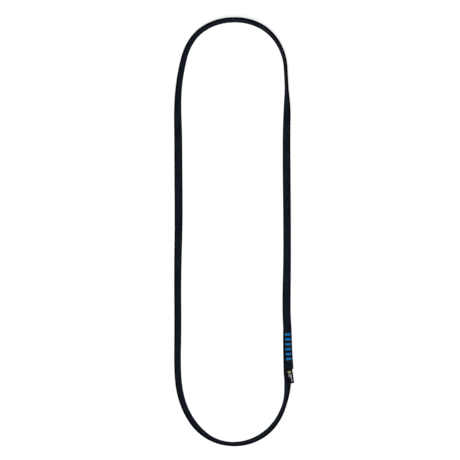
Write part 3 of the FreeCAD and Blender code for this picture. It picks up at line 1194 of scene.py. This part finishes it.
    def _cap(self, parts: MeshParts, frames: Frames, points: np.ndarray, end: int) -> int:
        """Close one end with a slightly bulging sealed edge.

        Args:
            parts: What to add it to.
            frames: The strap's middle and directions, ring by ring.
            points: The strap's rings.
            end: Which of the ends.

        Returns:
            How many vertices were added.
        """
        ring = points[end]
        count = len(ring)
        middle = ring.mean(0)
        outward = frames.along[end] * (1.0 if end == -1 else -1.0)
        layers = [ring]
        for share, bulge in self.cap_rings:
            layers.append(middle + (ring - middle) * share + outward * bulge * MM)
        cap = np.vstack([*layers, middle + outward * self.cap_tip * MM])
        quads = grid_faces(len(layers), count, True)
        if end == 0:
            quads = quads[:, ::-1]
        tip = len(cap) - 1
        first = tip - count
        fan = [(first + i, tip, first + (i + 1) % count) for i in range(count)]
        faces = quads.tolist() + fan
        local = (cap - middle) @ np.stack([frames.through[end], frames.across[end]], 1)
        room = (1 - self.strip_share) * self.cap_share
        spread = local / (self.line.sizes.width * self.cap_room) * room
        corner = np.array([(1 + self.strip_share) / 2 + self.cap_gap, self.cap_places[end]])
        corners = np.concatenate([np.asarray(face) for face in faces])
        parts.add(cap, faces, np.zeros((len(corners), 2)), (spread + corner)[corners])
        return len(cap)

    def _declare(self, piece: bpy.types.Object) -> None:
        """Attach the strap to the sling's body and hide the model's webbing loop.

        Args:
            piece: The strap.
        """
        line = self.line
        steps = np.linspace(0.0, line.length, self.path_points)
        path = line.frames(steps).middle
        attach(piece, Body.SLING.value)
        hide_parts("webbing_loop")


@dataclass
class Bartack:
    """One bartack: a dense zigzag of thread over both faces of the lap."""

    line: StrapLine
    number: int
    strands: int = 25
    radius: float = 0.000175
    sides: int = 8
    steps: int = 13
    sink: float = 0.00028
    slant: float = 0.00034
    slant_spread: tuple[float, float] = (0.7, 1.2)
    wander: float = 0.00003
    crest_drop: float = 0.00003
    layer_drop: float = 0.00006
    length_spread: tuple[float, float] = (0.95, 1.03)
    arch_power: int = 5
    top_margin: float = 1.02
    lanes: tuple[float, ...] = (-0.55, 0.0, 0.55)
    lane_radius: float = 0.8
    lane_rise: float = 0.35
    seed: int = 40

    def build(self, material: bpy.types.Material) -> bpy.types.Object:
        """Build the bartack.

        Args:
            material: The thread's finish.

        Returns:
            The piece.
        """
        s = self.line.sizes
        distance = self.line.tack_distance(self.number)
        frames = self.line.frames(np.array([distance]))
        top = frames.middle[0] + frames.through[0] * s.thickness / 2
        foot = np.array([top[0], top[1], s.lower_lift])
        random = np.random.default_rng(self.seed + self.number)
        parts = MeshParts()
        for origin, up in ((top, 1.0), (foot, -1.0)):
            self._bar(parts, origin, frames, up, random)
        piece = parts.build(f"bartack_thread_{self.number}", Slot.THREAD, material)
        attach(piece, Body.SLING.value)
        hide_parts(f"bartack_{self.number}")
        return piece

    def _bar(
        self,
        parts: MeshParts,
        origin: np.ndarray,
        frames: Frames,
        up: float,
        random: np.random.Generator,
    ) -> None:
        """Lay the underlay and the zigzag on one face of the lap.

        Args:
            parts: What to add them to.
            origin: The bartack's middle on that face.
            frames: The strap's directions there.
            up: 1 on the upper face, -1 on the lower one.
            random: Where the thread's unevenness comes from.
        """
        s = self.line.sizes
        across, along = frames.across[0], frames.along[0]
        half_width = s.tack_width / 2 - self.radius
        half_length = s.tack_length / 2 - self.radius
        reach = np.linspace(-1.0, 1.0, self.steps)
        arch = 1 - np.abs(reach) ** self.arch_power
        sunk = self.sink * (1 - arch)
        for lane in self.lanes:
            height = self.lane_rise * self.radius * arch - sunk
            path = origin + np.outer(reach * half_width, across) + lane * half_length * along
            path = path + np.outer(height, up * UP)
            parts.add(*tube(path, self.lane_radius * self.radius, self.sides))
        limit = s.tack_height - self.top_margin * self.radius
        for strand in range(self.strands):
            odd = strand % 2
            place = -half_width + 2 * half_width * strand / (self.strands - 1)
            lean = self.slant * (1 if odd else -1) * random.uniform(*self.slant_spread)
            bend = random.uniform(-1, 1) * self.wander
            crest = limit - random.uniform(0.0, self.crest_drop) - odd * self.layer_drop
            offset = place + lean * reach / 2 + bend * np.cos(reach * math.pi / 2)
            length = half_length * random.uniform(*self.length_spread)
            path = origin + np.outer(offset, across) + np.outer(reach * length, along)
            path = path + np.outer(crest * arch - sunk, up * UP)
            parts.add(*tube(path, self.radius, self.sides))


class Mark(Enum):
    """The plain shapes woven into the label."""

    DISC = "disc"
    BAR = "bar"


@dataclass(frozen=True)
class LabelMark:
    """One mark on the label: its shape, middle and half sizes, in metres along and across."""

    name: str
    shape: Mark
    along: float
    across: float
    half_length: float
    half_width: float


@dataclass
class Label:
    """The folded label tape: its root in the seam, and the flap over the strap's raised edge."""

    line: StrapLine
    width: float = 0.008
    flap_length: float = 0.0184
    side_shift: float = 0.0003
    setback: float = 0.0008
    end_gap: float = 0.0004
    pitch_deg: float = 24.0
    arch_deg: float = 4.0
    skew_deg: float = 4.0
    turn_half: float = 0.0009
    ply: float = 0.00028
    gap: float = 0.00012
    fold_radius: float = 0.00034
    swell_from: float = 0.6
    cup: float = 0.00035
    cup_from: float = 0.004
    edge_thinning: float = 0.45
    edge_power: int = 12
    line_steps: int = 420
    columns: int = 17
    root_rows: int = 24
    root_end: float = -0.0012
    fold_rows: int = 12
    fold_start: float = -0.0009
    fold_end: float = 0.0012
    flap_rows: int = 40
    flap_start: float = 0.0016
    turn_rows: int = 9
    map_shift: float = 10.0
    mark_grid: tuple[int, int] = (25, 13)
    mark_height: float = 0.00006
    mark_depth: float = 0.0001
    mark_power: int = 8
    mark_thread: float = 0.00028
    marks: tuple[LabelMark, ...] = (
        LabelMark("label_disc", Mark.DISC, 0.0034, 0.0, 0.00195, 0.00230),
        LabelMark("label_bar_1", Mark.BAR, 0.0114, 0.00155, 0.00510, 0.00042),
        LabelMark("label_bar_2", Mark.BAR, 0.0088, 0.00030, 0.00250, 0.00042),
        LabelMark("label_bar_3", Mark.BAR, 0.0080, -0.00095, 0.00170, 0.00042),
    )

    start: float = field(init=False)
    runs: np.ndarray = field(init=False)
    places: np.ndarray = field(init=False)
    bases: np.ndarray = field(init=False)

    def __post_init__(self) -> None:
        """Lay the tape's middle line from its end in the seam to its fold."""
        s = self.line.sizes
        frames = self.line.frames(np.array([self.line.length]))
        along, across = frames.along[0], frames.across[0]
        fold = frames.middle[0] + along * self.setback - across * self.side_shift
        fold[2] = s.label_bottom + s.label_thickness / 2
        root = s.tack_from_cut_end + s.tack_length / 2 - self.end_gap
        self.start = -(root + self.setback)
        self.runs = np.linspace(self.start, self.flap_length, self.line_steps)
        turned = smooth_step(self.runs, -self.turn_half, self.turn_half)
        over = np.clip(self.runs / self.flap_length, 0.0, 1.0)
        pitch = np.radians(self.pitch_deg + self.arch_deg * np.cos(math.pi * over)) * turned
        skew = math.radians(self.skew_deg) * turned
        flat = np.outer(np.cos(skew), along) + np.outer(np.sin(skew), across)
        side = np.outer(np.cos(skew), across) - np.outer(np.sin(skew), along)
        direction = flat * np.cos(pitch)[:, None] + UP * np.sin(pitch)[:, None]
        normal = np.cross(side, direction)
        normal *= np.sign(normal[:, 2])[:, None]
        step = np.diff(self.runs)[:, None] * (direction[1:] + direction[:-1]) / 2
        places = np.vstack([np.zeros(3), np.cumsum(step, axis=0)])
        self.places = places - read_rows(np.zeros(1), self.runs, places) + fold
        self.bases = np.stack([direction, side, normal], 1)

    def surface(self, run: np.ndarray, across: np.ndarray, height: np.ndarray) -> np.ndarray:
        """Place points on or beside the tape.

        Args:
            run: Distances from the fold line along the tape.
            across: Distances from its middle, outwards.
            height: Heights over its middle layer.

        Returns:
            The points.
        """
        run, across, height = np.broadcast_arrays(run, across, height)
        along, side, normal = (read_rows(run, self.runs, self.bases[:, k]) for k in range(3))
        past = (run - np.clip(run, self.start, self.flap_length))[..., None]
        cup = self.cup * smooth_step(run, self.cup_from, self.flap_length)
        raised = (height + cup * (across / (self.width / 2)) ** 2)[..., None]
        place = read_rows(run, self.runs, self.places)
        return place + along * past + side * across[..., None] + normal * raised

    def _half_gap(self, run: np.ndarray) -> np.ndarray:
        """Give how far each ply's middle lies from the tape's middle layer.

        Args:
            run: Distances from the fold line along the tape.

        Returns:
            The distance at each.
        """
        flat = (self.gap + self.ply) / 2
        swell = smooth_step(run, self.swell_from * self.flap_length, self.flap_length)
        return flat + (self.fold_radius - flat) * swell

    def _outline(self) -> np.ndarray:
        """Draw the tape's two plies and its fold from the side.

        Returns:
            Four rows: the place along, the height, and the outward direction's share of each.
        """
        tip = self.flap_length - self.fold_radius
        out = np.concatenate([
            np.linspace(self.start, self.root_end, self.root_rows),
            np.linspace(self.fold_start, self.fold_end, self.fold_rows),
            np.linspace(self.flap_start, tip, self.flap_rows),
        ])
        turn = np.linspace(0.0, math.pi, self.turn_rows + 2)[1:-1]
        flat, high = np.zeros(len(out)), np.ones(len(out))
        upper = np.stack([out, self._half_gap(out), flat, high])
        bend = np.stack([
            tip + self.fold_radius * np.sin(turn),
            self.fold_radius * np.cos(turn),
            np.sin(turn),
            np.cos(turn),
        ])
        lower = np.stack([out[::-1], -self._half_gap(out[::-1]), flat, -high])
        return np.hstack([upper, bend, lower])

    def build(self, groups: ClothGroups) -> list[bpy.types.Object]:
        """Build the tape and its marks.

        Args:
            groups: The shared node groups.

        Returns:
            The pieces.
        """
        run, height, to_run, to_height = self._outline()[..., None]
        side = np.linspace(-1.0, 1.0, self.columns)
        thick = self.ply / 2 * (1 - self.edge_thinning * np.abs(side) ** self.edge_power)
        across = side * self.width / 2
        layers = [
            self.surface(run + to_run * shift, across, height + to_height * shift)
            for shift in (thick, -thick)
        ]
        steps = np.hypot(np.diff(run[:, 0]), np.diff(height[:, 0]))
        travel = np.concatenate([[0.0], np.cumsum(steps)])[:, None] / MM
        spot = np.stack(np.broadcast_arrays(across / MM + self.map_shift, travel), -1)
        tape = self._slab("label_tape", LABEL_FINISH.material(groups), layers, spot)
        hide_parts("label_root", "label_flap")
        here = self.surface(np.array([-self.turn_half, self.turn_half]), np.zeros(2), np.zeros(2))
        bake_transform(tape)
        pieces = [tape]
        gold, white = GOLD_THREAD.material(groups), WHITE_THREAD.material(groups)
        for mark in self.marks:
            piece = self._mark(mark, gold if mark.shape is Mark.DISC else white)
            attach(piece, Body.LABEL.value)
            pieces.append(piece)
        return pieces

    @staticmethod
    def _slab(
        name: str, material: bpy.types.Material, layers: list[np.ndarray], spot: np.ndarray
    ) -> bpy.types.Object:
        """Close two grids of vertices into one thin piece.

        Args:
            name: The piece's name.
            material: Its material.
            layers: The upper and the lower grid.
            spot: The map at each vertex of a grid.

        Returns:
            The piece.
        """
        faces = slab_faces(*layers[0].shape[:2])
        runs = np.vstack([spot.reshape(-1, 2)] * 2)[faces.ravel()]
        parts = MeshParts()
        parts.add(np.vstack([layer.reshape(-1, 3) for layer in layers]), faces.tolist(), runs)
        piece = parts.build(name, Slot.LABEL, material)
        face_outwards(piece)
        return piece

    def _mark(self, mark: LabelMark, material: bpy.types.Material) -> bpy.types.Object:
        """Build one raised mark on the label's upper face.

        Args:
            mark: What it is.
            material: Its thread's finish.

        Returns:
            The piece.
        """
        rows, columns = (np.linspace(-1, 1, count) for count in self.mark_grid)
        p, q = np.meshgrid(rows, columns, indexing="ij")
        u, v = p, q
        if mark.shape is Mark.DISC:
            u, v = p * np.sqrt(1 - q * q / 2), q * np.sqrt(1 - p * p / 2)
        run = mark.along + u * mark.half_length
        across = mark.across + v * mark.half_width
        base = self._half_gap(run) + self.ply / 2
        edge = np.maximum(np.abs(p), np.abs(q))
        raised = self.mark_height * (1 - edge ** self.mark_power)
        layers = [self.surface(run, across, base + rise) for rise in (raised, -self.mark_depth)]
        threads = v * mark.half_width / (3 * self.mark_thread)
        spot = np.stack([threads, u * mark.half_length / MM], -1)
        return self._slab(mark.name, material, layers, spot)


class Lamp(NamedTuple):
    """A square area light."""

    name: str
    place: tuple[float, float, float]
    size: float
    power: float


@dataclass
class Studio:
    """The floor, the light and the camera."""

    view_width: float = 0.5695
    view_x: float = -0.0048
    view_y: float = 0.0015
    lens: float = 400.0
    sensor: float = 36.0
    view_end: float = 30.0
    floor_size: float = 40.0
    floor_grey: float = 0.93
    floor_glow: float = 0.62
    floor_roughness: float = 0.9
    floor_gloss: float = 0.1
    sky: float = 0.22
    lamps: tuple[Lamp, ...] = (
        Lamp("top", (0.0, -0.5, 2.1), 1.8, 20.0),
        Lamp("side", (-1.2, -0.9, 1.6), 0.9, 3.0),
    )

    def build(self) -> None:
        """Build all three."""
        self._camera()
        self._floor()
        self._lights()

    def _camera(self) -> None:
        """Hang the camera straight over the sling."""
        data = bpy.data.cameras.new("camera")
        data.lens = self.lens
        data.sensor_width = self.sensor
        data.clip_end = self.view_end
        camera = link("camera", data)
        camera.location = (self.view_x, self.view_y, self.view_width * self.lens / self.sensor)
        bpy.context.scene.camera = camera

    def _floor(self) -> None:
        """Lay a plain pale floor."""
        half = self.floor_size / 2
        mesh = bpy.data.meshes.new("floor")
        corners = [(-half, -half, 0), (half, -half, 0), (half, half, 0), (-half, half, 0)]
        mesh.from_pydata(corners, [], [(0, 1, 2, 3)])
        material, graph, shader = new_material("pale_floor")
        graph.feed_all(shader, {
            "Base Color": (self.floor_grey, self.floor_grey, self.floor_grey, 1.0),
            "Roughness": self.floor_roughness,
            "Specular IOR Level": self.floor_gloss,
            "Emission Color": WHITE,
            "Emission Strength": self.floor_glow,
        })
        mesh.materials.append(material)
        link("floor", mesh)

    def _lights(self) -> None:
        """Light the set evenly, with a soft key from above the near end."""
        world = bpy.data.worlds.new("studio")
        world.use_nodes = True
        background = world.node_tree.nodes["Background"]
        background.inputs["Color"].default_value = WHITE
        background.inputs["Strength"].default_value = self.sky
        bpy.context.scene.world = world
        for lamp in self.lamps:
            data = bpy.data.lights.new(lamp.name, "AREA")
            data.size = lamp.size
            data.energy = lamp.power
            light = link(lamp.name, data)
            light.location = lamp.place
            light.visible_camera = False
            light.rotation_euler = light.location.to_track_quat("Z", "Y").to_euler()
        bpy.context.scene.view_settings.view_transform = "Standard"


def main() -> None:
    """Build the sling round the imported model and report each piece."""
    logging.basicConfig(level=logging.INFO, format="%(message)s")
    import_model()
    line = StrapLine(SlingSizes())
    Studio().build()
    groups = ClothGroups()
    pieces = [Webbing(line).build(groups)]
    thread = BLUE_THREAD.material(groups)
    for number in range(1, line.sizes.tack_count + 1):
        pieces.append(Bartack(line, number).build(thread))
    pieces.extend(Label(line).build(groups))
    for piece in pieces:
        LOG.info("built %s with %d faces", piece.name, len(piece.data.polygons))
    LOG.info("strap %.1f mm long, lap %.1f mm", line.length / MM, line.overlap / MM)


if __name__ == "__main__":
    main()
